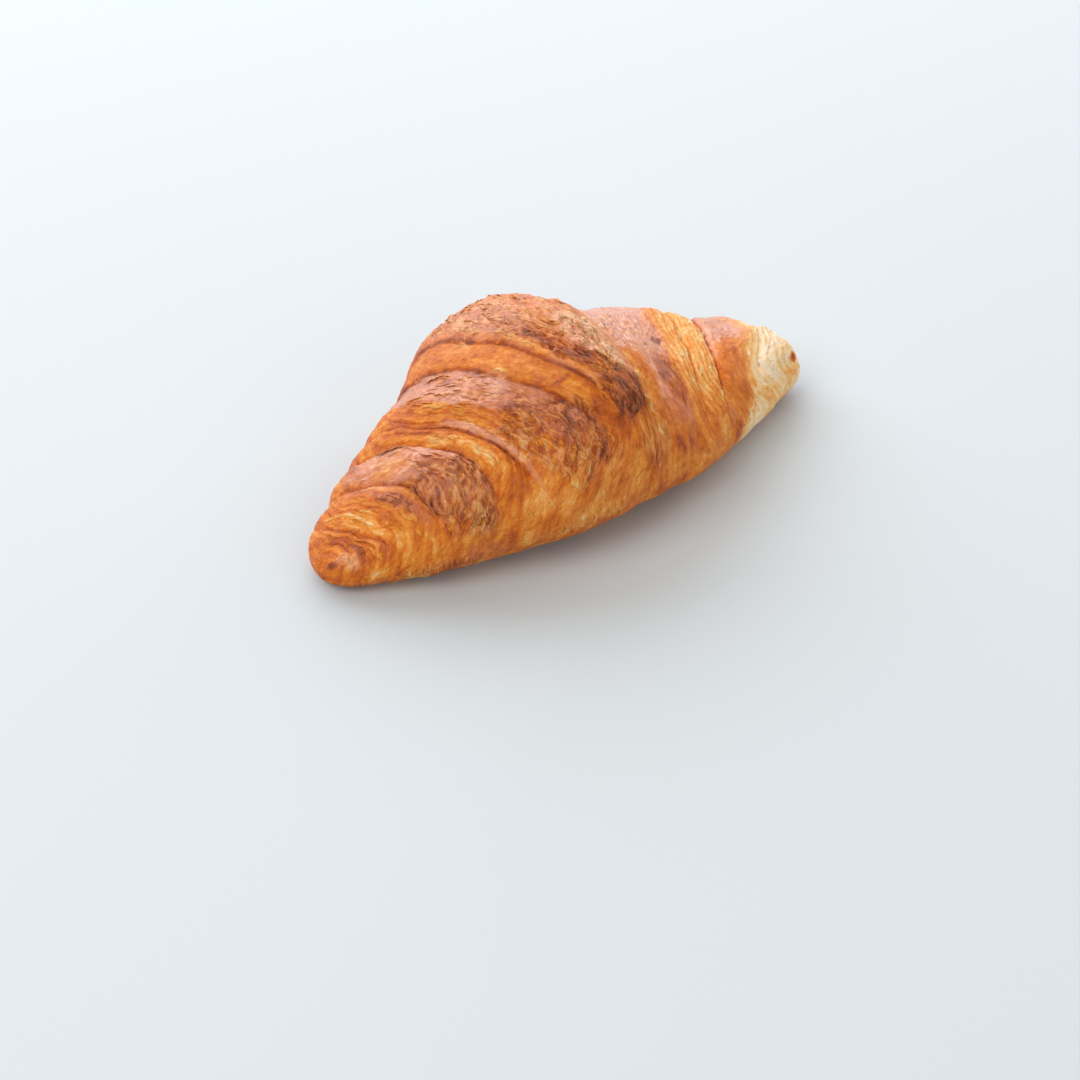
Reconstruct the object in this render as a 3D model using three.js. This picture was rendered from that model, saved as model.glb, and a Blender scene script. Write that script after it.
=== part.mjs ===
// A butter croissant, 160 mm long, lying on its flat baked base.
//
// A triangle of laminated dough is rolled up from its wide end, so every turn is narrower than the one
// under it. What shows is a row of wraps, each with a crowned top that drops steeply into a crease, and
// the narrow end of the triangle as a raised tongue that comes over from the back and stops high on the
// front. The creases lean: they run inwards as they come over the top to the front.
//
// Millimetres. X runs along the roll, -Y is the front, +Z is up, and z = 0 is the surface that it lies on.
import * as THREE from "three";

// Driving dimensions
const HALF_LENGTH = 80;
const AXIS_Y = -5.1; // the roll's axis, so that the whole is centred on the origin
const AXIS_SHARE = 0.5; // height of the roll's axis, as a share of the height over it
const BASE_REACH = 1.08; // how far the roll would sag below its base before the tray flattens it
const END_ROUNDING = 16; // power of the rounding at both blunt ends

// The rolled core without its wraps: x, height over the tray, half width in front, half width behind
const CORE = [
  [-80, 9, 7, 13],
  [-66, 15, 12.5, 18],
  [-50, 28, 21, 24.5],
  [-34, 36, 26.5, 28.5],
  [-18, 43, 31, 35],
  [-4, 46, 31, 36.5],
  [10, 42.5, 30, 33],
  [26, 36, 27, 30.5],
  [42, 31.5, 22, 28],
  [58, 24, 14.5, 22],
  [70, 20.5, 9.5, 17],
  [80, 15, 8, 10],
];

// Crease lines round the roll, from left to right: x over the top, how far the line leans towards the front,
// how much it bows, how much it curls on in front
const CREASES = {
  leftEnd: [-80, 0, 0, 0],
  leftTip: [-68.8, 5.3, 1, 0],
  leftFourth: [-55.8, 6.7, -3, 0],
  leftThird: [-45.5, 12, -4, 0],
  leftSecond: [-39.2, 13.4, -1, 0],
  tongueBand: [-23.2, 14, 1, 5.8],
  tongueLeft: [-15, 13.8, -1, 3.4],
  tongueRight: [9, -4, 2.5, 0],
  rightSecond: [37.5, -12.4, 0, 0],
  rightThird: [45.2, -12.5, 2, 0],
  rightTip: [66, -12, -6, 0],
  rightEnd: [80, 0, 0, 0],
};
const FLANK_FRONT = [52, 90]; // degrees from the top between which the creases close up in front
const FLANK_BACK = [85, 130];
const FLANK_HEIGHT = 1.3; // height of the closed surface over the core, and how much more it is in the middle
const FLANK_MIDDLE = 1.4;
const FLANK_REACH = 45;

// How the lines wander: mm, waves per mm along the roll in radians, waves round it
const WANDER = [
  [0.4, 0.15, 3],
  [0.25, -0.2, 7],
];
const WANDER_FREE_END = 8; // they wander less and less over this length at both ends

// How unevenly the dough has risen: height, waves per mm along the roll in radians, waves round it
const UNEVEN = [
  [0.35, 0.11, 2],
  [0.3, 0.19, -3],
  [0.25, 0.33, 5],
];
const RISEN = 0.5; // and how much it has risen everywhere

// Ridges of flaky crust: place over the top, degrees round, half width, half angle, height
const RIDGES = [
  [-50.8, 46, 6, 36, 0.7],
  [-30, 50, 8, 32, 0.5],
  [-3, 0, 9, 38, 0.4],
];
const RIDGE_PITCH = 4;
const RIDGE_WAVES = 4; // how often they swing round the roll
const RIDGE_SWING = 1.5;

// Wraps outside the widest one: inner crease, outer crease, height of the crown in mm
const WRAPS = [
  ["leftSecond", "leftThird", 1.8],
  ["leftThird", "leftFourth", 2.6],
  ["leftFourth", "leftTip", 1.6],
  ["leftTip", "leftEnd", 1.2],
  ["rightSecond", "rightThird", 1.6],
  ["rightThird", "rightTip", 2.4],
  ["rightTip", "rightEnd", 1.2],
];
const WIDEST_CROWN = 3.2; // the wrap that the tongue lies on, from leftSecond to rightSecond
const CREASE_SOFTNESS = 1; // distance over which a wrap rises out of its inner crease
const SHOULDER = 0.55; // below 1, a wrap's outer edge drops steeply

// The tongue: two thicknesses of dough, the lower one wider. Left line, height, roundness of its left side
// and of its right side
const TONGUE = [
  ["tongueBand", 2.8, 6, 3],
  ["tongueLeft", 2.2, 4, 2.5],
];
const TONGUE_KNOB = 0.3; // how much thicker it is near its end
const TONGUE_KNOB_ANGLE = THREE.MathUtils.degToRad(44);
const TONGUE_KNOB_REACH = THREE.MathUtils.degToRad(13);
const TONGUE_END = THREE.MathUtils.degToRad(61); // where it stops, down the front from the top
const TONGUE_END_ROUND = THREE.MathUtils.degToRad(15);
const TONGUE_END_DROP = THREE.MathUtils.degToRad(9);
const TONGUE_UNDER = THREE.MathUtils.degToRad(50); // it rises from the base within this much of the back

// Rings from one crease to the next, and points round each ring
const RINGS = [
  ["leftEnd", 10],
  ["leftTip", 9],
  ["leftFourth", 11],
  ["leftThird", 6],
  ["leftSecond", 12],
  ["tongueBand", 18],
  ["tongueRight", 13],
  ["rightSecond", 6],
  ["rightThird", 10],
  ["rightTip", 9],
];
const RING_CROWDING = 0.55; // how much of their spacing crowds towards the creases
const AROUND = 56;
const TOP_CROWDING = 0.15; // the points round a ring are this much closer over the top

function smooth(value) {
  const v = THREE.MathUtils.clamp(value, 0, 1);
  return v * v * (3 - 2 * v);
}

// A soft hump of height 1
function bump(value, centre, halfWidth) {
  return Math.exp(-(((value - centre) / halfWidth) ** 2));
}

// A smooth curve through the rows of CORE: column 1, 2 or 3 at x
function coreAt(x, column) {
  const last = CORE.length - 1;
  let i = 0;
  while (i < last - 1 && x > CORE[i + 1][0]) i += 1;
  const slope = (k) => (CORE[k + 1][column] - CORE[k][column]) / (CORE[k + 1][0] - CORE[k][0]);
  const tangent = (k) => {
    if (k === 0) return slope(0);
    if (k === last) return slope(last - 1);
    const before = CORE[k][0] - CORE[k - 1][0];
    const after = CORE[k + 1][0] - CORE[k][0];
    return (after * slope(k - 1) + before * slope(k)) / (before + after);
  };
  const h = CORE[i + 1][0] - CORE[i][0];
  const t = THREE.MathUtils.clamp((x - CORE[i][0]) / h, 0, 1);
  return (
    CORE[i][column] * (1 + 2 * t) * (1 - t) ** 2 +
    h * tangent(i) * t * (1 - t) ** 2 +
    CORE[i + 1][column] * t * t * (3 - 2 * t) +
    h * tangent(i + 1) * t * t * (t - 1)
  );
}

// One of the numbers in CREASES, evenly drawn out between them
function alongCreases(top, column) {
  const rows = Object.values(CREASES);
  let i = 0;
  while (i < rows.length - 2 && top > rows[i + 1][0]) i += 1;
  const share = (top - rows[i][0]) / (rows[i + 1][0] - rows[i][0]);
  return THREE.MathUtils.lerp(rows[i][column], rows[i + 1][column], share);
}

// x at an angle of the line that crosses the top of the roll at `top`.
// Angles: 0 over the top, 90 degrees in front, 180 under the base, -90 behind
function lineX(top, angle) {
  const sine = Math.sin(angle);
  const cosine = Math.cos(angle);
  const lean = (alongCreases(top, 1) * sine) / (1 + 0.5 * cosine);
  const bow = alongCreases(top, 2) * (1 - cosine);
  const curl = alongCreases(top, 3) * Math.max(sine, 0) ** 2;
  let wander = 0;
  for (const [reach, along, around] of WANDER) wander += reach * Math.sin(along * top + around * angle);
  return top + lean + bow + curl + wander * Math.min(1, (HALF_LENGTH - Math.abs(top)) / WANDER_FREE_END);
}

function crease(name, angle) {
  return lineX(CREASES[name][0], angle);
}

// A wrap's height from its inner crease, at v = 0, to its outer crease, at v = 1
function wrapShape(v, length) {
  if (v < 0 || v > 1) return 0;
  return (1 - Math.exp((-v * length) / CREASE_SOFTNESS)) * (1 - v ** 4) ** SHOULDER;
}

// How much of a crease is left at an angle: they close up down the flanks
function creasesLeft(angle) {
  const degrees = THREE.MathUtils.radToDeg(angle);
  const front = smooth((degrees - FLANK_FRONT[0]) / (FLANK_FRONT[1] - FLANK_FRONT[0]));
  const back = smooth((-degrees - FLANK_BACK[0]) / (FLANK_BACK[1] - FLANK_BACK[0]));
  return 1 - front - back;
}

function wrapHeight(x, angle) {
  const left = crease("leftSecond", angle);
  const right = crease("rightSecond", angle);
  const v = Math.abs((2 * x - left - right) / (right - left));
  let height = v < 1 ? WIDEST_CROWN * (1 - v ** 6) ** SHOULDER : 0;
  for (const [inner, outer, crown] of WRAPS) {
    const a = crease(inner, angle);
    const b = crease(outer, angle);
    height += crown * wrapShape((x - a) / (b - a), Math.abs(b - a));
  }
  const flank = FLANK_HEIGHT + FLANK_MIDDLE * bump(x, 0, FLANK_REACH);
  return THREE.MathUtils.lerp(flank, height, creasesLeft(angle));
}

function tongueHeight(x, angle) {
  const right = crease("tongueRight", angle);
  const knob = 1 + TONGUE_KNOB * bump(angle, TONGUE_KNOB_ANGLE, TONGUE_KNOB_REACH);
  let height = 0;
  for (const [leftLine, thickness, leftRoundness, rightRoundness] of TONGUE) {
    const left = crease(leftLine, angle);
    const across = THREE.MathUtils.clamp((2 * x - left - right) / (right - left), -1, 1);
    const endAngle = TONGUE_END - TONGUE_END_ROUND * across ** 2;
    const beforeEnd = THREE.MathUtils.clamp((endAngle - angle) / TONGUE_END_DROP, 0, 1);
    const end = Math.sqrt(beforeEnd * (2 - beforeEnd));
    const side = Math.sqrt(1 - Math.abs(across) ** (across < 0 ? leftRoundness : rightRoundness));
    height += thickness * knob * side * end * smooth((Math.PI + angle) / TONGUE_UNDER);
  }
  return height;
}

// Humps and flaky ridges of the crust itself
function crustHeight(top, angle) {
  let height = RISEN;
  for (const [tall, along, around] of UNEVEN) height += tall * Math.sin(along * top + around * angle);
  const degrees = THREE.MathUtils.radToDeg(angle);
  const swing = RIDGE_SWING * Math.sin(RIDGE_WAVES * angle);
  const ridge = Math.sin((2 * Math.PI * top) / RIDGE_PITCH + swing);
  for (const [place, round, halfWidth, halfAngle, tall] of RIDGES) {
    height += tall * ridge * bump(top, place, halfWidth) * bump(degrees, round, halfAngle);
  }
  return height;
}

function surfacePoint(top, angle) {
  const x = lineX(top, angle);
  const over = coreAt(x, 1);
  const axisZ = over * AXIS_SHARE;
  const s = Math.sin(angle);
  const c = Math.cos(angle);
  const wide = coreAt(x, s > 0 ? 2 : 3);
  const tall = c > 0 ? over - axisZ : axisZ * BASE_REACH;
  const power = c > 0 ? 2.1 : 2.4;
  const core = (Math.abs(s / wide) ** power + Math.abs(c / tall) ** power) ** (-1 / power);
  const towardsBase = 0.2 + 0.8 * smooth((c + 0.75) / 0.6); // the wraps are pressed flat at the base
  const end = Math.sqrt(Math.max(0, 1 - Math.abs(x / HALF_LENGTH) ** END_ROUNDING));
  const dough = wrapHeight(x, angle) + tongueHeight(x, angle) + crustHeight(top, angle);
  const radius = (core + dough * towardsBase) * end;
  return new THREE.Vector3(x, AXIS_Y - radius * s, Math.max(axisZ + radius * c, 0));
}

// Where the rings cross the top: they follow the creases and crowd together next to them
function ringTops() {
  const tops = [];
  RINGS.forEach(([name, count], k) => {
    const from = CREASES[name][0];
    const to = k + 1 < RINGS.length ? CREASES[RINGS[k + 1][0]][0] : HALF_LENGTH;
    for (let i = 0; i < count; i += 1) {
      const even = i / count;
      const crowded = (1 - Math.cos(Math.PI * even)) / 2;
      tops.push(THREE.MathUtils.lerp(from, to, THREE.MathUtils.lerp(even, crowded, RING_CROWDING)));
    }
  });
  tops.push(HALF_LENGTH);
  return tops;
}

// A sphere's grid of points, with its poles at the two ends of the roll, is moved onto the croissant
function croissantGeometry() {
  const tops = ringTops();
  const rings = tops.length - 1;
  const geometry = new THREE.SphereGeometry(HALF_LENGTH, AROUND, rings);
  const position = geometry.getAttribute("position");
  for (let j = 0; j <= AROUND; j += 1) {
    const turn = Math.PI - (2 * Math.PI * (j % AROUND)) / AROUND;
    const angle = turn - TOP_CROWDING * Math.sin(turn);
    for (let i = 0; i <= rings; i += 1) {
      const atEnd = i === 0 || i === rings;
      const point = surfacePoint(tops[i], atEnd ? 0 : angle);
      if (atEnd) point.z = coreAt(tops[i], 1) * AXIS_SHARE;
      position.setXYZ(i * (AROUND + 1) + j, point.x, point.y, point.z);
    }
  }
  geometry.computeVertexNormals();
  return geometry;
}

const crust = new THREE.MeshStandardMaterial({
  color: new THREE.Color(0.66, 0.33, 0.11),
  roughness: 0.42,
  metalness: 0,
});

const croissant = new THREE.Mesh(croissantGeometry(), crust);
croissant.name = "croissant";

const part = new THREE.Group();
part.add(croissant);

export default part;
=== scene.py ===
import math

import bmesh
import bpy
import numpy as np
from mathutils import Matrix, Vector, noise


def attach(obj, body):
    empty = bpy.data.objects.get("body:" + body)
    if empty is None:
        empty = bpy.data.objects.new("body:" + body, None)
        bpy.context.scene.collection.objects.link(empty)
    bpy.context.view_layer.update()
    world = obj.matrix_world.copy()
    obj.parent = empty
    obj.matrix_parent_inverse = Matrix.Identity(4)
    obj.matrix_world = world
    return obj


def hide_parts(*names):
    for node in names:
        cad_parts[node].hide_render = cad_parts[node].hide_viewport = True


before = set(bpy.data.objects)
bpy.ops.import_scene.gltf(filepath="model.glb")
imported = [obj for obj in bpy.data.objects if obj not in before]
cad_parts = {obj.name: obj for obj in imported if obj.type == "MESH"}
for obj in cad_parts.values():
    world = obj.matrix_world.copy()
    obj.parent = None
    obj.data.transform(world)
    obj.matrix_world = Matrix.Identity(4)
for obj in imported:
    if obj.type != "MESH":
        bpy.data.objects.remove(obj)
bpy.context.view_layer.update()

# A butter croissant on a pale table in soft studio light.
#
# The crust takes the place of the part's solid and follows the same surface: the roll, its creases, wraps and
# tongue have the solid's sizes. On it come the thin layers of dough in the walls of the wraps, the flaky
# ridges and blisters, loose flakes, and the colours of the bake, with painted sheen, highlight and shade.
#
# Shapes are worked out in millimetres. A place on the crust is given by two numbers: `top`, the x at which
# the crease line through it crosses the top of the roll, and `angle`, how far round the roll it lies: 0 over
# the top, 90 degrees in front, 180 under the base and -90 behind.

MM = 0.001


# The shape of the roll

HALF_LENGTH = 80.0
AXIS_Y = -5.1
AXIS_SHARE = 0.5  # height of the roll's axis, as a share of the height over it
BASE_REACH = 1.08  # how far the roll would sag below its base before the tray flattens it
END_ROUNDING = 16  # power of the rounding at both blunt ends
TOP_ROUNDING = 2.1  # powers of the section's rounding over the axis and under it
UNDER_ROUNDING = 2.4
LEAST_HEIGHT = 0.2  # share of the wraps' height and of the relief that is left under the roll
BASE_TURN = (-0.75, -0.15)  # cosines of the angles between which the rest fades out

# x, height over the tray, half width in front, half width behind, without the wraps
CORE = np.array([
    (-80, 9, 7, 13),
    (-66, 15, 12.5, 18),
    (-50, 28, 21, 24.5),
    (-34, 36, 26.5, 28.5),
    (-18, 43, 31, 35),
    (-4, 46, 31, 36.5),
    (10, 42.5, 30, 33),
    (26, 36, 27, 30.5),
    (42, 31.5, 22, 28),
    (58, 24, 14.5, 22),
    (70, 20.5, 9.5, 17),
    (80, 15, 8, 10),
], float)
CORE_X, CORE_HEIGHT, CORE_FRONT, CORE_BEHIND = CORE.T

# Crease lines: x over the top, lean towards the front, bow, curl in front, and how dark the line is, partly a
# darker bake and partly painted shade in the crease
CREASES = {
    "left_end": (-80, 0, 0, 0, 0),
    "left_tip": (-68.8, 5.3, 1, 0, 0.08),
    "left_fourth": (-55.8, 6.7, -3, 0, 0.16),
    "left_third": (-45.5, 12, -4, 0, 0.20),
    "left_second": (-39.2, 13.4, -1, 0, 0.25),
    "tongue_band": (-23.2, 14, 1, 5.8, 0.15),
    "tongue_left": (-15, 13.8, -1, 3.4, 0.17),
    "tongue_right": (9, -4, 2.5, 0, 0.04),
    "right_second": (37.5, -12.4, 0, 0, 0.08),
    "right_third": (45.2, -12.5, 2, 0, 0.14),
    "right_tip": (66, -12, -6, 0, 0.04),
    "right_end": (80, 0, 0, 0, 0),
}
CREASE_TOP, CREASE_LEAN, CREASE_BOW, CREASE_CURL, CREASE_DARK = np.array(list(CREASES.values()), float).T
PLACE = dict(zip(CREASES, CREASE_TOP))

LEAN_DELAY = 0.5  # above 0, the lines lean more on the flanks than over the top
# How the lines wander: mm, waves per mm along the roll in radians, waves round it
WANDER = [(0.4, 0.15, 3), (0.25, -0.2, 7)]
WANDER_FADE = 8.0  # distance from both ends over which they stop wandering
# How unevenly the dough has risen: height, waves per mm along the roll in radians, waves round it
UNEVEN = [(0.35, 0.11, 2), (0.3, 0.19, -3), (0.25, 0.33, 5)]
RISEN = 0.5  # and how much it has risen everywhere

# Wraps outside the widest one: inner crease, outer crease, height of the crown
CROWNS = [
    ("left_second", "left_third", 1.8),
    ("left_third", "left_fourth", 2.6),
    ("left_fourth", "left_tip", 1.6),
    ("left_tip", "left_end", 1.2),
    ("right_second", "right_third", 1.6),
    ("right_third", "right_tip", 2.4),
    ("right_tip", "right_end", 1.2),
]
WIDEST_CROWN = 3.2  # the wrap that the tongue lies on
CREASE_SOFTNESS = 0.9  # distance over which a wrap rises out of its inner crease
WRAP_ROUNDING = 4  # power of a wrap's rounding towards its outer edge
WIDEST_ROUNDING = 6  # and of that of the widest wrap
SHOULDER = 0.55  # below 1, a wrap's outer edge drops steeply
FLANK_FADE = [(52, 90), (85, 130)]  # degrees between which the creases fade out, in front and behind
FLANK_HEIGHT = 1.3  # what the wraps' height goes over into there
FLANK_BELLY = 1.4  # and how much more it is at the middle of the roll
FLANK_BELLY_REACH = 45

# The tongue's two thicknesses of dough: left line, height, roundness of its left and right sides
TONGUE = [("tongue_band", 2.8, 6, 3), ("tongue_left", 2.2, 4, 2.5)]
TONGUE_KNOB = 0.3  # how much thicker it is near its end
TONGUE_KNOB_ANGLE = math.radians(44)
TONGUE_KNOB_REACH = math.radians(13)
TONGUE_END = math.radians(61)
TONGUE_END_ROUND = math.radians(15)
TONGUE_END_DROP = math.radians(9)
TONGUE_UNDER = math.radians(50)  # angle over which it comes out from under the roll, behind

# The mesh: rings along the roll, and points round each
RINGS = 436
AROUND = 226
EVEN_AROUND = 0.22  # the ring's points are this much closer over the top, and wider apart under the base
CREASE_CROWDING = 1.3  # how much closer the rings are at a crease
CROWDING_REACH = 1.1  # and how far from it they are
OUTLINE_STEPS = 8000  # along which the outline is measured


def smooth(low, high, value):
    """Rises smoothly from 0 at low to 1 at high."""
    share = np.clip((value - low) / (high - low), 0, 1)
    return share * share * (3 - 2 * share)


def bump(value, centre, half_width):
    """A soft hump of height 1."""
    return np.exp(-(((value - centre) / half_width) ** 2))


def curve(x, xs, ys):
    """A smooth curve through the points, at x."""
    steps = np.diff(xs)
    slopes = np.diff(ys) / steps
    tangents = np.empty_like(ys)
    tangents[1:-1] = (steps[1:] * slopes[:-1] + steps[:-1] * slopes[1:]) / (steps[1:] + steps[:-1])
    tangents[0] = slopes[0]
    tangents[-1] = slopes[-1]
    i = np.clip(np.searchsorted(xs, x) - 1, 0, len(xs) - 2)
    t = np.clip((x - xs[i]) / steps[i], 0, 1)
    return (
        ys[i] * (1 + 2 * t) * (1 - t) ** 2
        + steps[i] * tangents[i] * t * (1 - t) ** 2
        + ys[i + 1] * t * t * (3 - 2 * t)
        + steps[i] * tangents[i + 1] * t * t * (t - 1)
    )


def core_at(x, sizes):
    """One of the roll's sizes at x."""
    return curve(x, CORE_X, sizes)


def end_share(x):
    """How full the roll is at x: it rounds off at both ends."""
    return np.sqrt(np.clip(1 - np.abs(x / HALF_LENGTH) ** END_ROUNDING, 0, 1))


def line_x(top, angle):
    """x of the line that crosses the top of the roll at top, where it has come to angle."""
    lean = np.interp(top, CREASE_TOP, CREASE_LEAN)
    bow = np.interp(top, CREASE_TOP, CREASE_BOW)
    curl = np.interp(top, CREASE_TOP, CREASE_CURL)
    sine = np.sin(angle)
    cosine = np.cos(angle)
    x = top + lean * sine / (1 + LEAN_DELAY * cosine) + bow * (1 - cosine) + curl * np.maximum(sine, 0) ** 2
    wander = sum(reach * np.sin(along * top + around * angle) for reach, along, around in WANDER)
    return x + wander * np.minimum(1, (HALF_LENGTH - np.abs(top)) / WANDER_FADE)


def crease_x(name, angle):
    return line_x(PLACE[name], angle)


def wrap_shape(share, length):
    """A wrap's height from its inner crease, at 0, to its outer crease, at 1."""
    inside = (share >= 0) & (share <= 1)
    share = np.clip(share, 0, 1)
    return inside * (1 - np.exp(-share * length / CREASE_SOFTNESS)) * (1 - share**WRAP_ROUNDING) ** SHOULDER


def creases_left(angle):
    """How much of a crease is left at an angle: they close up down the flanks."""
    degrees = np.degrees(angle)
    (front, front_end), (back, back_end) = FLANK_FADE
    return 1 - smooth(front, front_end, degrees) - smooth(back, back_end, -degrees)


def wrap_height(x, angle):
    """How far the wraps stand out from the roll."""
    left = crease_x("left_second", angle)
    right = crease_x("right_second", angle)
    share = np.clip(np.abs((2 * x - left - right) / (right - left)), 0, 1)
    height = WIDEST_CROWN * (1 - share**WIDEST_ROUNDING) ** SHOULDER
    for inner, outer, crown in CROWNS:
        a = crease_x(inner, angle)
        b = crease_x(outer, angle)
        height = height + crown * wrap_shape((x - a) / (b - a), np.abs(b - a))
    flank = FLANK_HEIGHT + FLANK_BELLY * bump(x, 0, FLANK_BELLY_REACH)
    return flank + (height - flank) * creases_left(angle)


def tongue_height(x, angle):
    """How far the tongue stands out from the wrap under it, down to its rounded end in front."""
    height = np.zeros_like(x)
    right = crease_x("tongue_right", angle)
    knob = 1 + TONGUE_KNOB * bump(angle, TONGUE_KNOB_ANGLE, TONGUE_KNOB_REACH)
    for left_line, thickness, left_roundness, right_roundness in TONGUE:
        left = crease_x(left_line, angle)
        across = np.clip((2 * x - left - right) / (right - left), -1, 1)
        before_end = np.clip((TONGUE_END - TONGUE_END_ROUND * across**2 - angle) / TONGUE_END_DROP, 0, 1)
        end = np.sqrt(before_end * (2 - before_end))
        side = np.sqrt(1 - np.abs(across) ** np.where(across < 0, left_roundness, right_roundness))
        height += thickness * knob * side * end * smooth(0, 1, (math.pi + angle) / TONGUE_UNDER)
    return height


def unevenness(top, angle):
    return RISEN + sum(height * np.sin(along * top + around * angle) for height, along, around in UNEVEN)


def ring_tops():
    """Where the rings cross the top: in even steps along the outline, closer together at the creases."""
    x = np.linspace(-HALF_LENGTH, HALF_LENGTH, OUTLINE_STEPS + 1)
    outline = core_at(x, CORE_HEIGHT) * AXIS_SHARE * end_share(x)
    middle = (x[1:] + x[:-1]) / 2
    crowding = 1 + CREASE_CROWDING * sum(bump(middle, top, CROWDING_REACH) for top in CREASE_TOP[1:-1])
    travelled = np.concatenate([[0], np.cumsum(np.hypot(np.diff(x), np.diff(outline)) * crowding)])
    return np.interp(np.linspace(0, travelled[-1], RINGS + 1), travelled, x)


# The crust's relief and bake

# The bake is a number: 0 is raw dough and 1 is burnt; at creases, ridges, blisters and flake edges it also
# carries painted shade and highlight. Gloss, flakiness and the like are shares, and the glossiness also
# paints a pink sheen into the colour.

# Between two creases: inner crease, outer crease, share that is tread, bake of the tread and of the wall,
# how glossy the tread is, which also sets its painted pink sheen, how softly it goes over into the wall
FACES = [
    ("left_tip", "left_end", 0.0, 0.50, 0.52, 0.3, 0.1),
    ("left_fourth", "left_tip", 0.35, 0.56, 0.49, 0.2, 0.1),
    ("left_third", "left_fourth", 0.95, 0.52, 0.50, 1.0, 0.1),
    ("left_second", "left_third", 0.0, 0.44, 0.46, 0.2, 0.1),
    ("tongue_band", "left_second", 0.5, 0.58, 0.50, 0.8, 0.1),
    ("tongue_left", "tongue_band", 1.0, 0.48, 0.48, 0.1, 0.1),
    ("tongue_left", "tongue_right", 1.0, 0.50, 0.50, 0.35, 0.1),
    ("tongue_right", "right_second", 0.72, 0.52, 0.32, 1.0, 0.1),
    ("right_second", "right_third", 0.0, 0.30, 0.27, 0.4, 0.1),
    ("right_third", "right_tip", 0.74, 0.50, 0.15, 0.9, 0.30),
    ("right_tip", "right_end", 0.0, 0.08, 0.05, 0.6, 0.1),
]

# Places where the crust differs: top, angle in degrees, half width, half angle, change of the bake,
# flakiness, change of the glossiness, which also changes the painted pink sheen
PATCHES = {
    "left_tip_crevice": (-77.9, 45, 0.8, 16, 0.22, 0.3, 0),
    "left_tip_blisters": (-75.6, 50, 2.2, 22, -0.08, 0.9, 0.6),
    "left_tip_streak": (-66.2, 12, 2.3, 64, -0.15, 0, 0),
    "left_tip_groove": (-73.0, 10, 0.7, 60, 0.10, 0, 0),
    "left_lower_edge": (-64, 104, 16.0, 8, 0.05, 0.4, 0),
    "middle_lower_edge": (-25, 102, 22.0, 6, -0.08, 0.2, 0),
    "left_wall_rust": (-71.5, 0, 1.2, 50, 0.10, 0, 0),
    "fourth_wrap_lip": (-57.6, -5, 0.6, 42, -0.14, 0, 0),
    "fourth_wrap_red": (-59.5, 20, 1.4, 30, 0.10, 0.5, 0),
    "third_wrap_inner": (-47.2, -10, 1.2, 40, 0.12, 0.3, -0.3),
    # Painted highlight on the third wrap: paler bake, and more glossiness with its coat and painted pink
    # sheen
    "third_wrap_highlight": (-52.5, -28, 5.5, 34, -0.09, 0, 0.6),
    "third_wrap_ridges": (-50.8, 46, 6.0, 36, 0.12, 1.0, -0.7),
    "third_band_gold": (-43.0, 25, 1.7, 32, -0.14, 0.4, 0),
    "third_band_rust": (-41.3, -10, 1.2, 22, 0.14, 0, 0),
    # Glossier strips along the second wrap's lip and its tread's edge: a real coat plus a painted pink
    # highlight
    "second_wrap_lip": (-38.2, 30, 0.9, 40, -0.04, 0.2, 1.0),
    "second_tread_edge": (-32.2, -4, 0.9, 32, 0.0, 0.2, 0.9),
    "second_wrap_flakes": (-30.0, 50, 8.0, 32, 0.07, 0.8, -0.4),
    "second_tread": (-29, -15, 7.0, 45, 0, 0.35, 0),
    "band_crack": (-18.9, 30, 3.4, 1.3, 0.14, 0, 0),
    "band_pale_front": (-19.0, 38, 2.6, 6, -0.08, 0, 0),
    "band_pale": (-19.3, -2, 2.8, 26, -0.04, 0, 0),
    "band_brown_end": (-18.5, 54, 5.0, 9, 0.08, 0, 0),
    # Painted highlight on the second tread: paler, and glossier with more painted sheen
    "second_tread_shine": (-26.6, -3, 4.0, 14, -0.07, 0, 0.5),
    "flank_flecks": (2, 78, 13.0, 12, 0.01, 0.55, 0),
    "flank_pale": (-22, 84, 20.0, 13, -0.05, 0.15, 0),
    "tongue_top": (-3.5, 0, 9.0, 60, 0, 0.6, 0),
    "tongue_back": (-9.0, -38, 6.0, 30, 0.04, 0.9, 0.1),
    "tongue_lip": (-13.4, 22, 0.8, 36, -0.12, 0, 0),
    "tongue_top_brown": (3.8, -22, 2.4, 5, 0.18, 0.8, -0.3),
    "tongue_dark_side": (-9.6, 8, 3.2, 24, 0.14, 0.8, -0.3),
    "tongue_dark_front": (-7.6, 33, 4.6, 13, 0.16, 0.8, -0.4),
    "tongue_end": (-3.2, 49, 13.0, 11, 0.27, 0.7, -0.7),
    "tongue_pale_side": (-0.6, 17, 5.2, 26, -0.13, 1.0, 0.7),
    "right_wrap_pale_edge": (10.5, 20, 1.6, 60, -0.10, 0.4, 0),
    "right_wrap_inner": (12.5, 42, 5.5, 24, -0.04, 0.15, -1.0),
    "right_wrap_red": (25.0, 42, 5.4, 17, 0.17, 0.25, -0.8),
    "right_wrap_rough": (20, -5, 8.0, 30, 0.0, 0.4, 0),
    "right_wrap_mark": (27.5, 10, 1.6, 5, 0.36, 0.3, -0.6),
    "right_wrap_speck": (22.5, 16, 0.8, 2.5, 0.26, 0.3, -0.6),
    "right_third_orange": (55, 50, 9, 38, -0.01, 0, -1.2),
    "right_third_gold": (61.5, 70, 4.5, 24, -0.10, 0, 0),
    "right_tip_gold": (71, 94, 6.0, 20, 0.03, 0, -0.5),
    "right_tip_yellow": (77.3, 80, 2.5, 16, 0.07, 0, -0.6),
    "right_tip_back": (73, -80, 6.0, 50, 0.24, 0, 0),
    "right_tip_spot": (76.5, 45, 1.4, 15, 0.55, 0, -0.6),
}

PLAIN_BAKE = 0.5
FLANK_BAKE = 0.47
BASE_BAKE = 0.58
DARKEST_BAKE = 0.86

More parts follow.
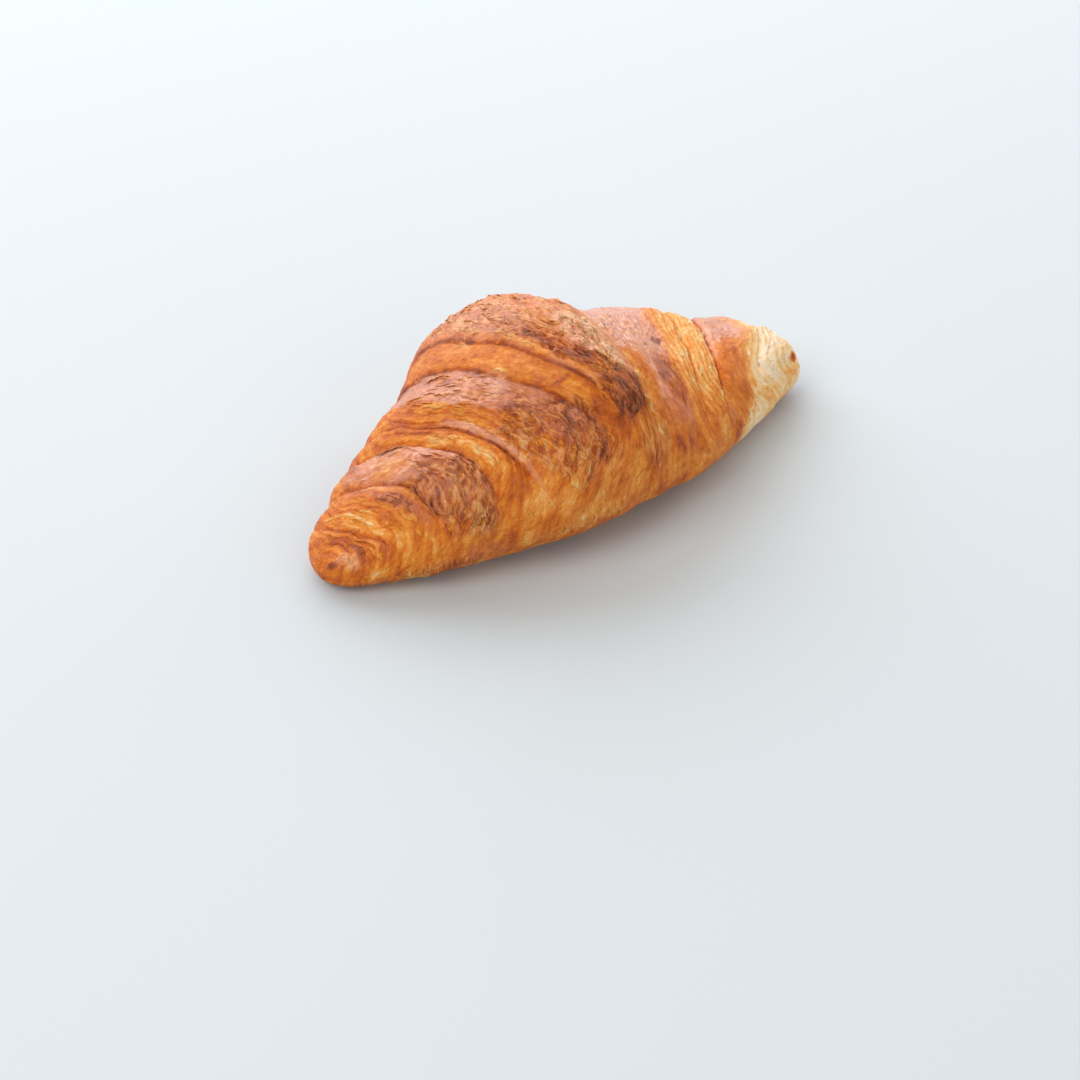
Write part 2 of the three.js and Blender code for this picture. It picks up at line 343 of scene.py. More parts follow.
# In degrees from the top, where one kind of crust goes over into the next
BELOW_TONGUE = (50, 66)
FLANK = (48, 84)
STRAIGHT_LAYERS = (40, 100)  # over the top the layers follow the creases, and down the flanks they don't
UNDER = (118, 140)

BELOW_TONGUE_REACH = 24  # how far along the roll the plain crust below the tongue reaches each way
FACE_WANDER = 0.10  # how far the border of tread and wall wanders, as a share of the face
FLANK_WANDER = 4.0  # and the border of the flanks, in degrees
FLANK_SHARE = 0.75  # how much of a face's bake gives way to that of the flank
RIGHT_SHARE_LOST = 0.6  # and how much less that is at the right end
RIGHT_FACES = (48, 66)  # tops between which that comes in
FLANK_DULLNESS = 0.85
FLANK_LAYERS = 0.3  # how clear the layers are on the flanks
PATCH_EDGE = (0.45, 1.5)  # where a patch starts and ends to fade out, as squares of its half width
PATCH_WOBBLE = 0.8  # how ragged its edge is

# The crust's noises: humps to a mm along the roll and around it, place in the noise, octaves
NOISES = {
    "borders": (0.05, 0.06, 40, 2),
    "patch_edges": (0.20, 0.12, 7, 3),
    "layer_warp": (0.055, 0.028, 3, 2),
    "fine_layer_warp": (0.3, 0.12, 9, 2),
    "drift_along": (0.16, 0.16, 61, 2),
    "drift_around": (0.16, 0.16, 71, 2),
    "ridges": (0.52, 0.15, 21, 2),
    "crackle": (0.45, 0.36, 31, 3),
    "blotches": (0.16, 0.12, 81, 3),
    "clear_layers": (0.07, 0.05, 91, 2),
    "flank_streaks": (0.20, 0.035, 101, 3),
}
OCTAVE_FADE = 0.8  # how fast the finer octaves weaken
OCTAVE_STEP = 2.1  # how much finer each octave is

# The relief, in mm. It is cut into the solid's surface, so that it stays inside the solid's box.
RELIEF_DEPTH = 0.9
LAYER_PITCH = 2.4
LAYER_WARP = 1.5  # how far noise moves the layers, in layers
LAYER_EDGE = (0.82, 1.0)  # share of a layer over which it drops to the next
LAYER_HEIGHT = 0.6
FINE_LAYERS = 2.2  # as many fine layers to each thick one
FINE_LAYER_WARP = 0.5
FINE_LAYER_HEIGHT = 0.25
LEAST_LAYERS = 0.2  # share of the layers that shows on a tread too
CLEAR_LAYERS = (-0.5, 0.6)  # values of its noise between which the layers come out
DIM_LAYERS = 0.35  # share of them that shows elsewhere
DRIFT_ALONG = 1.6  # how far noise moves ridges, blisters and crackle, along the roll and around it
DRIFT_AROUND = 2.5
RIDGE_HEIGHT = 0.6
RIDGE_SHARPNESS = 2.8
RIDGE_FLOOR = -0.3  # how deep it is between ridges, where their height is 1
RIDGE_LEVEL = 0.2  # how much of a ridge lies below the surface that it stands on
BLISTER_HEIGHT = 0.35
BLISTER_SIZE = 1.7
BLISTER_STRETCH = 0.8  # below 1, they are longer around the roll than along it
BLISTER_EDGE = 0.62  # how far a blister reaches from its middle, in sizes
FLAKY_SHINE = 0.5  # flaky crust blisters as crust with this gloss does
CRACKLE_HEIGHT = 0.35
PLAIN_CRACKLE = 0.5  # share of the crackle that is left where nothing is flaky
LUMP_HEIGHT = 0.4
LUMP_LEVEL = 0.5  # the noise value that leaves the surface where it is

# How much the relief changes the bake, and the heights of ridges and blisters that leave it as it is
# Ridge tops are paler and their hollows darker, partly real bake and partly painted highlight and shade; on
# blisters it is painted highlight and shade
RIDGE_BAKE_AND_PAINTED_LIGHT = 0.14
RIDGE_MIDDLE = 0.25
BLISTER_PAINTED_LIGHT = 0.08
BLISTER_MIDDLE = 0.5
CRACKLE_BAKE = 0.09
BLOTCH_BAKE = 0.06
FLANK_STREAK_BAKE = 0.13
FLANK_BLOTCH_BAKE = 0.12

# The dark line in a crease: partly a darker bake, partly painted shade
CREASE_LINE = 0.35  # half width of the dark line in a crease
CREASE_LINE_TURN = math.radians(12)  # it ends this much sooner than the crease in front, and later behind
CREASE_DULLNESS = 3.5  # share of the gloss lost to a line, for each 1 of the bake that it adds
MOST_DULLNESS = 0.9


def field(points, pattern):
    """Smooth noise of about -1 to 1 at every point."""
    along, around, start, octaves = NOISES[pattern]
    places = points * (along, around, around) + start
    return np.array([noise.fractal(Vector(place), OCTAVE_FADE, OCTAVE_STEP, octaves) for place in places])


def blisters(points, size):
    """Small domes of about that size, from 0 between them to 1 on their tops."""
    nearest = np.array([noise.voronoi(Vector(place))[0][0] for place in points / size])
    return np.clip(1 - (nearest / BLISTER_EDGE) ** 2, 0, 1)


def layers(phase):
    """The edges of layers: each rises slowly outwards and then drops to the next."""
    share = phase - np.floor(phase)
    return share - smooth(*LAYER_EDGE, share)


def at_least(least, share):
    """The share drawn together, so that its 0 becomes least and its 1 stays."""
    return least + (1 - least) * share


class Crust:
    """Arrays, one number for each point of the mesh, that say what the crust is like there."""

    def __init__(self, top, angle):
        self.top = top
        self.angle = angle
        self.degrees = np.degrees(angle)
        self.x = line_x(top, angle)
        self.set_core()
        self.set_faces()
        self.set_patches()
        self.set_relief()

    def set_core(self):
        """The surface of the solid: the distance from the roll's axis, before the relief."""
        over = core_at(self.x, CORE_HEIGHT)
        self.axis_z = over * AXIS_SHARE
        self.sine = np.sin(self.angle)
        self.cosine = np.cos(self.angle)
        wide = np.where(self.sine > 0, core_at(self.x, CORE_FRONT), core_at(self.x, CORE_BEHIND))
        tall = np.where(self.cosine > 0, over - self.axis_z, self.axis_z * BASE_REACH)
        power = np.where(self.cosine > 0, TOP_ROUNDING, UNDER_ROUNDING)
        core = (np.abs(self.sine / wide) ** power + np.abs(self.cosine / tall) ** power) ** (-1 / power)
        self.above_base = at_least(LEAST_HEIGHT, smooth(*BASE_TURN, self.cosine))
        self.end = end_share(self.x)
        height = wrap_height(self.x, self.angle) + tongue_height(self.x, self.angle)
        height += unevenness(self.top, self.angle)
        self.radius = (core + height * self.above_base) * self.end
        self.along = self.top + (self.x - self.top) * smooth(*STRAIGHT_LAYERS, np.abs(self.degrees))
        self.roll = np.stack([self.along, self.radius * self.sine, self.radius * self.cosine], -1)

    def set_faces(self):
        """Tread or wall, and the bake and gloss that go with it."""
        self.wall = np.zeros_like(self.top)
        self.bake = np.full_like(self.top, PLAIN_BAKE)
        self.gloss = np.zeros_like(self.top)
        wander = field(self.roll, "borders")
        for inner, outer, tread_share, tread_bake, wall_bake, gloss, softness in FACES:
            a, b = PLACE[inner], PLACE[outer]
            share = (self.top - a) / (b - a)
            inside = (share >= 0) & (share < 1)
            wall = smooth(-softness, softness, share - tread_share + FACE_WANDER * wander)
            self.wall = np.where(inside, wall, self.wall)
            self.bake = np.where(inside, tread_bake + (wall_bake - tread_bake) * wall, self.bake)
            self.gloss = np.where(inside, gloss * (1 - wall), self.gloss)
        below_tongue = smooth(*BELOW_TONGUE, self.degrees) * bump(self.top, 0, BELOW_TONGUE_REACH)
        self.bake += (PLAIN_BAKE - self.bake) * below_tongue
        self.gloss *= 1 - below_tongue
        self.flank = smooth(*FLANK, np.abs(self.degrees) + FLANK_WANDER * wander)
        share = FLANK_SHARE - RIGHT_SHARE_LOST * smooth(*RIGHT_FACES, self.top)
        self.bake += (FLANK_BAKE - self.bake) * self.flank * share
        self.gloss *= 1 - FLANK_DULLNESS * self.flank
        self.wall += (FLANK_LAYERS - self.wall) * self.flank
        self.under = smooth(*UNDER, np.abs(self.degrees))
        self.bake += (BASE_BAKE - self.bake) * self.under

    def set_patches(self):
        """The places where the crust differs, added one by one."""
        self.flaky = np.zeros_like(self.top)
        wobble = PATCH_WOBBLE * field(self.roll, "patch_edges")
        for top, degrees, half_width, half_angle, bake, flaky, gloss in PATCHES.values():
            far = ((self.top - top) / half_width) ** 2 + ((self.degrees - degrees) / half_angle) ** 2
            share = 1 - smooth(*PATCH_EDGE, far + wobble)
            self.bake += bake * share
            self.flaky = np.maximum(self.flaky, flaky * share)
            self.gloss = np.clip(self.gloss + gloss * share, 0, 1)

    def set_relief(self):
        """The layers, ridges, blisters and lumps, and how they change the bake and the glossiness, with
        painted highlight and shade on ridges, blisters and creases.
        """
        self.layer = np.abs(self.along) / LAYER_PITCH + LAYER_WARP * field(self.roll, "layer_warp")
        fine_warp = FINE_LAYER_WARP * field(self.roll, "fine_layer_warp")
        drift_along = DRIFT_ALONG * field(self.roll, "drift_along")
        drift_around = DRIFT_AROUND * field(self.roll, "drift_around")
        wavy = self.roll + np.stack([drift_along, drift_around, drift_around], -1)
        ridge = np.clip(1 - RIDGE_SHARPNESS * np.abs(field(wavy, "ridges")), RIDGE_FLOOR, 1)
        dome = blisters(wavy * (1, BLISTER_STRETCH, BLISTER_STRETCH), BLISTER_SIZE)
        crackle = field(wavy, "crackle")
        blotch = field(self.roll, "blotches")
        # The dark line in each crease, partly a darker bake and partly painted shade
        lines = zip(CREASE_TOP[1:-1], CREASE_DARK[1:-1])
        crease_line_and_shade = sum(dark * bump(self.top, top, CREASE_LINE) for top, dark in lines)
        crease_line_and_shade *= creases_left(self.angle + CREASE_LINE_TURN) * (1 - self.under)

        clear = at_least(DIM_LAYERS, smooth(*CLEAR_LAYERS, field(self.roll, "clear_layers")))
        self.streaks = at_least(LEAST_LAYERS, self.wall * (1 - self.flaky) * clear)
        shiny = np.clip(self.gloss + FLAKY_SHINE * self.flaky, 0, 1) * (1 - self.under)
        relief = LUMP_HEIGHT * (blotch - LUMP_LEVEL) * (1 - self.under) - RELIEF_DEPTH
        relief += CRACKLE_HEIGHT * crackle * at_least(PLAIN_CRACKLE, self.flaky)
        relief += LAYER_HEIGHT * self.streaks * layers(self.layer)
        relief += FINE_LAYER_HEIGHT * self.streaks * layers(FINE_LAYERS * self.layer + fine_warp)
        relief += RIDGE_HEIGHT * self.flaky * (ridge - RIDGE_LEVEL) + BLISTER_HEIGHT * shiny * dome
        self.radius += relief * self.above_base * self.end

        # Painted highlight on ridge and blister tops and painted shade between them, added to the bake; on
        # the ridges it is partly a real bake too
        self.bake += RIDGE_BAKE_AND_PAINTED_LIGHT * self.flaky * (RIDGE_MIDDLE - ridge)
        self.bake += BLISTER_PAINTED_LIGHT * shiny * (BLISTER_MIDDLE - dome)
        # The crease lines add their painted shade to the bake here, with the crackle and blotches
        self.bake += CRACKLE_BAKE * crackle + BLOTCH_BAKE * blotch + crease_line_and_shade
        flank_streaks = FLANK_STREAK_BAKE * field(self.roll, "flank_streaks")
        self.bake += self.flank * (flank_streaks + FLANK_BLOTCH_BAKE * blotch)
        self.gloss *= 1 - np.clip(CREASE_DULLNESS * crease_line_and_shade, 0, MOST_DULLNESS)
        self.bake = np.minimum(self.bake, DARKEST_BAKE)

    def places(self):
        """The points in the frame, in metres. Below the tray there is nothing."""
        z = np.maximum(self.axis_z + self.radius * self.cosine, 0)
        return np.stack([self.x, AXIS_Y - self.radius * self.sine, z], -1) * MM


# Materials

class Socket:
    """A value in a material's nodes. Arithmetic on a number adds Math nodes."""

    def __init__(self, finish, socket):
        self.finish = finish
        self.socket = socket

    def math(self, operation, *others, clamp=False):
        settings = {"operation": operation, "use_clamp": clamp}
        return self.finish.node("Math", settings, dict(enumerate((self, *others))))

    def __add__(self, other):
        return self.math("ADD", other)

    def __sub__(self, other):
        return self.math("SUBTRACT", other)

    def __rsub__(self, other):
        return self.finish.node("Math", {"operation": "SUBTRACT"}, {0: other, 1: self})

    def __mul__(self, other):
        return self.math("MULTIPLY", other)

    __radd__ = __add__
    __rmul__ = __mul__

    def clamped(self):
        return self.math("ADD", 0.0, clamp=True)

    def at_least(self, other):
        return self.math("MAXIMUM", other)

    def size(self):
        return self.math("ABSOLUTE")

    def fraction(self):
        return self.math("FRACT")


class Finish:
    """A material whose nodes are written as Python expressions."""

    def __init__(self, name):
        self.material = bpy.data.materials.new(name)
        self.material.use_nodes = True
        self.tree = self.material.node_tree
        self.tree.nodes.clear()

    def node(self, kind, settings=None, inputs=None, output=0):
        """Adds a node: its settings are set first, and then the values or links of its inputs."""
        node = self.tree.nodes.new("ShaderNode" + kind)
        for name, value in (settings or {}).items():
            if name == "stops":
                self.set_stops(node.color_ramp, value)
            else:
                setattr(node, name, value)
        for name, value in (inputs or {}).items():
            if isinstance(value, Socket):
                self.tree.links.new(value.socket, node.inputs[name])
            else:
                node.inputs[name].default_value = value
        return Socket(self, node.outputs[output]) if node.outputs else None

    @staticmethod
    def set_stops(color_ramp, stops):
        while len(color_ramp.elements) < len(stops):
            color_ramp.elements.new(1.0)
        for element, (position, color) in zip(color_ramp.elements, stops):
            element.position = position
            element.color = opaque(color)

    def attribute(self, name, output="Fac"):
        return self.node("Attribute", {"attribute_name": name}, output=output)

    def scaled(self, vector, along, around):
        return self.node("VectorMath", {"operation": "MULTIPLY"}, {0: vector, 1: (along, around, around)})

    def noise(self, vector, along, around, detail, roughness, distortion):
        return self.node("TexNoise", None, {
            "Vector": self.scaled(vector, along, around),
            "Scale": 1.0,
            "Detail": detail,
            "Roughness": roughness,
            "Distortion": distortion,
        })

    def smooth(self, value, low, high):
        inputs = {"Value": value, "From Min": low, "From Max": high}
        return self.node("MapRange", {"interpolation_type": "SMOOTHSTEP"}, inputs)

    def ramp(self, value, stops):
        return self.node("ValToRGB", {"stops": stops}, {"Fac": value})

    def mix(self, share, a, b):
        return self.node("Mix", {"data_type": "RGBA"}, {0: share, 6: a, 7: b}, output=2)

    def shade(self, shader):
        self.node("OutputMaterial", None, {"Surface": shader})
        return self.material


def linear(hex_color):
    """The linear red, green and blue of a web colour."""
    channels = [int(hex_color[i : i + 2], 16) / 255 for i in (1, 3, 5)]
    return [c / 12.92 if c <= 0.04045 else ((c + 0.055) / 1.055) ** 2.4 for c in channels]


def opaque(hex_color):
    return (*linear(hex_color), 1)


# How the dough's colour goes with its bake, from raw to burnt
CRUST_COLORS = [
    (0.00, "#FAE0BE"),
    (0.18, "#F3C37A"),
    (0.34, "#E89334"),
    (0.50, "#D47014"),
    (0.64, "#B6551A"),
    (0.80, "#7F3A19"),
    (1.00, "#421C0F"),
]
# Colour of the pink sheen: a painted reflection of the pale light on the glazed crust
PAINTED_SHEEN_COLOR = "#E8A68C"
PALEST_FLAKE = 0.24

# Fine noise on the crust: humps to a metre along the roll and around it, detail, roughness, distortion
FINE_NOISES = {
    "fine_streak": (1150, 380, 4.0, 0.55, 0.0),
    "broad_streak": (380, 140, 3.0, 0.55, 0.0),
    "mottle": (420, 340, 5.0, 0.68, 0.0),
    "patchy": (150, 130, 3.0, 0.55, 0.0),
    "speckle": (1900, 1700, 2.0, 0.55, 0.0),
    "squiggle": (360, 110, 2.5, 0.6, 1.4),
}
CELLS = (900, 720)  # cells to a metre along the roll and around it
NOISE_MIDDLE = 0.5
SQUIGGLE_SHARPNESS = 11.0

# Painted layers: how many to a layer of the relief, how ragged they are, where each drops to the next
PAINTED_LAYERS = (1.0, 0.5, (0.72, 1.0))
FINE_PAINTED_LAYERS = (3.0, 1.6, (0.70, 1.0))

# What a pattern does to the crust: the value at which it leaves the bake as it is, what it adds to the bake,
# how much more it adds where the layers are clear, and the same two for the bumps
PATTERNS = {
    "rise": (0.40, 0.0, -0.24, 0.0, 0.3),
    "fine_rise": (0.38, 0.0, -0.06, 0.0, 0.2),
    "fine_streak": (NOISE_MIDDLE, 0.14, 0.12, 0.1, 0.4),
    "broad_streak": (NOISE_MIDDLE, 0.26, 0.0, 0.0, 0.0),
    "mottle": (NOISE_MIDDLE, 0.26, -0.06, 1.2, 0.0),
    "speckle": (NOISE_MIDDLE, 0.16, 0.0, 0.5, 0.0),
    "cells": (0.45, 0.10, 0.0, -0.5, 0.0),
}
# Flaky crust: its ridges are paler and take a loose flake's colour, and the ground between them is darker,
# partly painted highlight and shade
FLAKY_SHIFT = 0.06  # flaky crust is darker between its ridges, and paler on them
RIDGE_SHIFT = 0.12
RIDGE_BUMP = 0.7
RIDGE_COVER = 0.65  # how much of a ridge has the colour of a loose flake
FLAKE_LESS_BAKED = 0.24  # how much less baked than the crust a loose flake is
FLAKE_LEAST_BAKED = 0.20
FLAKE_PAINTED_SHEEN = 0.45  # how much of the sheen's colour it has

# The pink sheen, a painted reflection of the light on the glaze: on glossy crust from a little noise on, and
# on all crust in the noise's highest spots
GLOSSY_PAINTED_SHEEN = 0.9
GLOSSY_PAINTED_SHEEN_START = 0.08
SPOT_PAINTED_SHEEN = 0.5
SPOT_PAINTED_SHEEN_START = 0.59

ROUGHNESS = 0.50
GLOSS_SMOOTHNESS = 0.18
MOTTLE_ROUGHNESS = 0.3
GLOSS_COAT = 0.75  # coat on the glossiest crust


def crust_material():
    crust = Finish("crust")
    roll = crust.attribute("roll", "Vector")
    bake, gloss, streaks, flaky, layer = (
        crust.attribute(name) for name in ("bake", "gloss", "streaks", "flaky", "layer")
    )
    pattern = {name: crust.noise(roll, *numbers) for name, numbers in FINE_NOISES.items()}
    pattern["cells"] = crust.node("TexVoronoi", None, {"Vector": crust.scaled(roll, *CELLS), "Scale": 1.0})
    mottle = pattern["mottle"]
    patchy = pattern["patchy"]
    ridge = (1.0 - (pattern["squiggle"] - NOISE_MIDDLE).size() * SQUIGGLE_SHARPNESS).clamped()

    def painted_layers(ragged_edge, number, raggedness, edge):
        share = (layer * number + (ragged_edge - NOISE_MIDDLE) * raggedness).fraction()
        return share - crust.smooth(share, *edge)

    def weight(plain, more_in_layers):
        return streaks * more_in_layers + plain if more_in_layers else plain

    pattern["rise"] = painted_layers(mottle, *PAINTED_LAYERS)
    pattern["fine_rise"] = painted_layers(pattern["broad_streak"], *FINE_PAINTED_LAYERS)
    shift = flaky * (FLAKY_SHIFT - ridge * RIDGE_SHIFT)
    height = flaky * ridge * RIDGE_BUMP
    for name, (middle, bake_plain, bake_layers, bump_plain, bump_layers) in PATTERNS.items():
        shift += (pattern[name] - middle) * weight(bake_plain, bake_layers)
        height += pattern[name] * weight(bump_plain, bump_layers)

    baked = crust.ramp((bake + shift).at_least(flaky * PALEST_FLAKE), CRUST_COLORS)
    # Painted sheen: the baked colour is drawn towards pink where the crust is glossy, and in spots, in place
    # of reflected light
    glossy_painted_sheen = gloss * (patchy * GLOSSY_PAINTED_SHEEN - GLOSSY_PAINTED_SHEEN_START)
    painted_sheen_share = (glossy_painted_sheen + (patchy - SPOT_PAINTED_SHEEN_START) * SPOT_PAINTED_SHEEN).clamped()
    baked_with_painted_sheen = crust.mix(painted_sheen_share, baked, opaque(PAINTED_SHEEN_COLOR))
    # A loose flake's colour, also laid on ridge tops: less baked, with painted sheen as a highlight
    less_baked = crust.ramp((bake - FLAKE_LESS_BAKED).at_least(FLAKE_LEAST_BAKED), CRUST_COLORS)
    flake_color_with_sheen = crust.mix(FLAKE_PAINTED_SHEEN, less_baked, opaque(PAINTED_SHEEN_COLOR))
    shader = crust.node("BsdfPrincipled", None, {
        "Base Color": crust.mix(flaky * ridge * RIDGE_COVER, baked_with_painted_sheen, flake_color_with_sheen),
        "Roughness": ROUGHNESS - gloss * GLOSS_SMOOTHNESS + (mottle - NOISE_MIDDLE) * MOTTLE_ROUGHNESS,
        "Normal": crust.node("Bump", None, {"Strength": 0.8, "Distance": 0.0009, "Height": height}),
        "Coat Weight": gloss * GLOSS_COAT,
        "Coat Roughness": 0.26,
        "Specular IOR Level": 0.26,
        "Subsurface Weight": 0.06,
        "Subsurface Radius": (0.004, 0.002, 0.0008),
        "Subsurface Scale": 1.0,
    })
    return crust.shade(shader)


def table_material():
    table = Finish("table")
    shader = table.node("BsdfPrincipled", None, {
        "Base Color": opaque("#C4CACD"),
        "Roughness": 0.6,
        "Specular IOR Level": 0.2,
    })
    return table.shade(shader)


# Pieces

# The flakes. Each pair of numbers is the least and the most of what is drawn for a flake.
FLAKES = 1100
FLAKE_SEED = 5
FLAKE_TRIES = 12  # places tried for each flake
FLAKE_TOPS = (-73, 74)
FLAKE_DEGREES = (-110, 112)
WALL_FLAKES = 0.14  # chance of a flake at a place in a wall, where the flakiest crust always gets one
LEAST_SPREAD = 0.6  # no flakes where the lines run together more than this
LARGE_FLAKES = 0.07  # share of them that is larger
LARGE_FLAKE_SIZE = (1.3, 1.8)  # times as large
FLAKE_HALF_WIDTH = (0.3, 0.8)
FLAKE_HALF_LENGTH = (1.0, 3.2)
FLAKE_LIFT = (0.15, 0.5)
FLAKE_TINT = (-0.12, 0.05)  # change of the bake
FLAKE_SKEW = (-0.5, 0.5)  # how far its ends lie apart along the roll, in widths
# A flake's lifted edge is made paler: a painted highlight, given as a change of the bake
FLAKE_EDGE_HIGHLIGHT = -0.10
FLAKE_THICKNESS = 0.16
FLAKE_SINK = 0.10
FLAKE_END_SINK = 0.16  # how much deeper its two ends are sunk
FLAKE_END_WIDTH = 0.35  # as a share of the width at its middle
FLAKE_TAPER = 3  # power of the curve from there to its ends
FLAKE_RAGGEDNESS = 0.35
FLAKE_RAGS = 5  # waves of its ragged edge, in radians for half its length
FLAKE_RAG_START = 60  # makes each flake's waves start elsewhere, by its tint
SMALLEST_RADIUS = 8  # near the ends of the roll, a flake reaches no further round it than with this radius


def new_mesh(name, bm):
    mesh = bpy.data.meshes.new(name)
    bm.to_mesh(mesh)
    bm.free()
    return mesh


def new_object(mesh, material):
    piece = bpy.data.objects.new(mesh.name, mesh)
    bpy.context.scene.collection.objects.link(piece)
    mesh.materials.append(material)
    return piece


def points_of(mesh):
    points = np.empty(len(mesh.vertices) * 3)
    mesh.vertices.foreach_get("co", points)
    return points.reshape(-1, 3)


def add_attribute(mesh, name, values):
    kind, key = ("FLOAT", "value") if values.ndim == 1 else ("FLOAT_VECTOR", "vector")
    attribute = mesh.attributes.new(name, kind, "POINT")
    attribute.data.foreach_set(key, values.astype(np.float32).ravel())


def lay_on_crust(mesh, crust, tint):
    """Moves the mesh's points to the places of the crust, and gives them what its material reads."""
    mesh.vertices.foreach_set("co", crust.places().ravel())
    add_attribute(mesh, "roll", crust.roll * MM)
    add_attribute(mesh, "bake", crust.bake + tint)
    add_attribute(mesh, "gloss", crust.gloss)
    add_attribute(mesh, "streaks", crust.streaks)
    add_attribute(mesh, "flaky", crust.flaky)
    add_attribute(mesh, "layer", crust.layer)
    mesh.shade_smooth()
    mesh.update()


def make_croissant(material):
    """A sphere, with its poles at the two ends of the roll, is moved onto the crust."""
    bm = bmesh.new()
    bmesh.ops.create_uvsphere(bm, u_segments=AROUND, v_segments=RINGS, radius=1)
    mesh = new_mesh("croissant_crust", bm)
    x, y, z = points_of(mesh).T
    ring = (1 - np.arccos(np.clip(z, -1, 1)) / math.pi) * RINGS
    turn = np.arctan2(y, x)
    tops = np.interp(ring, np.arange(RINGS + 1), ring_tops())
    lay_on_crust(mesh, Crust(tops, turn - EVEN_AROUND * np.sin(turn)), 0)
    piece = new_object(mesh, material)
    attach(piece, "root")
    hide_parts("croissant")


def flake_template():
    """The plate that each flake is made from: 2 wide and 2 long about its middle, and 1 thick."""
    bm = bmesh.new()
    bmesh.ops.create_grid(bm, x_segments=3, y_segments=8, size=1)
    shell = bmesh.ops.extrude_face_region(bm, geom=bm.faces[:])
    raised = [item for item in shell["geom"] if isinstance(item, bmesh.types.BMVert)]
    bmesh.ops.translate(bm, verts=raised, vec=(0, 0, 1))
    bmesh.ops.recalc_face_normals(bm, faces=bm.faces)
    return new_mesh("flake", bm)


def flake_places(draw):
    """Where the flakes lie, drawn where the crust is flaky or a wall.

    Gives the tops, the angles, the crust's radius there, and how many mm along the roll a mm of top is there.
    """
    tries = FLAKES * FLAKE_TRIES
    tops = draw.uniform(*FLAKE_TOPS, tries)
    angles = np.radians(draw.uniform(*FLAKE_DEGREES, tries))
    found = Crust(tops, angles)
    spread = line_x(tops + 0.5, angles) - line_x(tops - 0.5, angles)
    chance = (WALL_FLAKES * found.wall * (1 - found.flank) + found.flaky) * (spread > LEAST_SPREAD)
    kept = np.flatnonzero(draw.random(tries) < chance)[:FLAKES]
    return tops[kept], angles[kept], found.radius[kept], spread[kept]


def make_flakes(material):
    """Loose edges of the layers, each sunk in the crust on its inner side and lifted on its outer one."""
    draw = np.random.default_rng(FLAKE_SEED)
    tops, angles, radius, spread = flake_places(draw)
    count = len(tops)
    size = np.where(draw.random(count) < LARGE_FLAKES, draw.uniform(*LARGE_FLAKE_SIZE, count), 1)
    half_width = size * draw.uniform(*FLAKE_HALF_WIDTH, count) / spread
    half_turn = size * draw.uniform(*FLAKE_HALF_LENGTH, count) / np.maximum(radius, SMALLEST_RADIUS)
    lift = size * draw.uniform(*FLAKE_LIFT, count)
    tint = draw.uniform(*FLAKE_TINT, count)
    skew = draw.uniform(*FLAKE_SKEW, count)

    template = flake_template()
    bm = bmesh.new()
    for _ in range(count):
        bm.from_mesh(template)
    bpy.data.meshes.remove(template)
    mesh = new_mesh("crust_flakes", bm)
    across, along, above = points_of(mesh).reshape(count, -1, 3).transpose(2, 0, 1)

    def each(values):
        return values[:, None]

    waves = np.sin(along * FLAKE_RAGS + each(tint) * FLAKE_RAG_START)
    ragged = 1 + FLAKE_RAGGEDNESS * waves * (across > 0)
    taper = 1 - np.abs(along) ** FLAKE_TAPER
    outwards = np.sign(each(tops)) * across * ragged * at_least(FLAKE_END_WIDTH, taper)
    top = each(tops) + each(half_width) * (outwards + each(skew) * along)
    crust = Crust(top.ravel(), (each(angles) + each(half_turn) * along).ravel())
    lifted_share = (1 + across) / 2
    rise = each(lift) * lifted_share * taper - FLAKE_SINK - FLAKE_END_SINK * (1 - taper)
    rise += FLAKE_THICKNESS * (above - 1)
    crust.radius += rise.ravel() * crust.end
    # Painted highlight on the lifted edge
    edge_highlight = FLAKE_EDGE_HIGHLIGHT * np.clip(across, 0, 1)
    lay_on_crust(mesh, crust, (each(tint) + edge_highlight).ravel())
    piece = new_object(mesh, material)
    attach(piece, "root")


# The table, in metres
TABLE_REACH = 20.0
TABLE_DROP = 0.0001  # it lies this far under the croissant, so that the two don't share a plane


def make_table():
    bm = bmesh.new()
    bmesh.ops.create_grid(bm, x_segments=1, y_segments=1, size=TABLE_REACH)
    bmesh.ops.translate(bm, verts=bm.verts, vec=(0, 0, -TABLE_DROP))
    table = new_object(new_mesh("table", bm), table_material())


# Camera and light, with their places and sizes in metres

CAMERA_AZIMUTH = math.radians(-36)
CAMERA_ELEVATION = math.radians(36)
CAMERA_DISTANCE = 0.65
LOOK_POINT = Vector((0, AXIS_Y * MM, 0.028))
PHOTO_SIZE = 1080  # pixels each way
LOOK_PIXEL = (567.9, 396.4)  # where the look point shows
PIXELS_PER_MM = 3.7156  # at the look point
SENSOR = 36.0  # width of the sensor, in mm

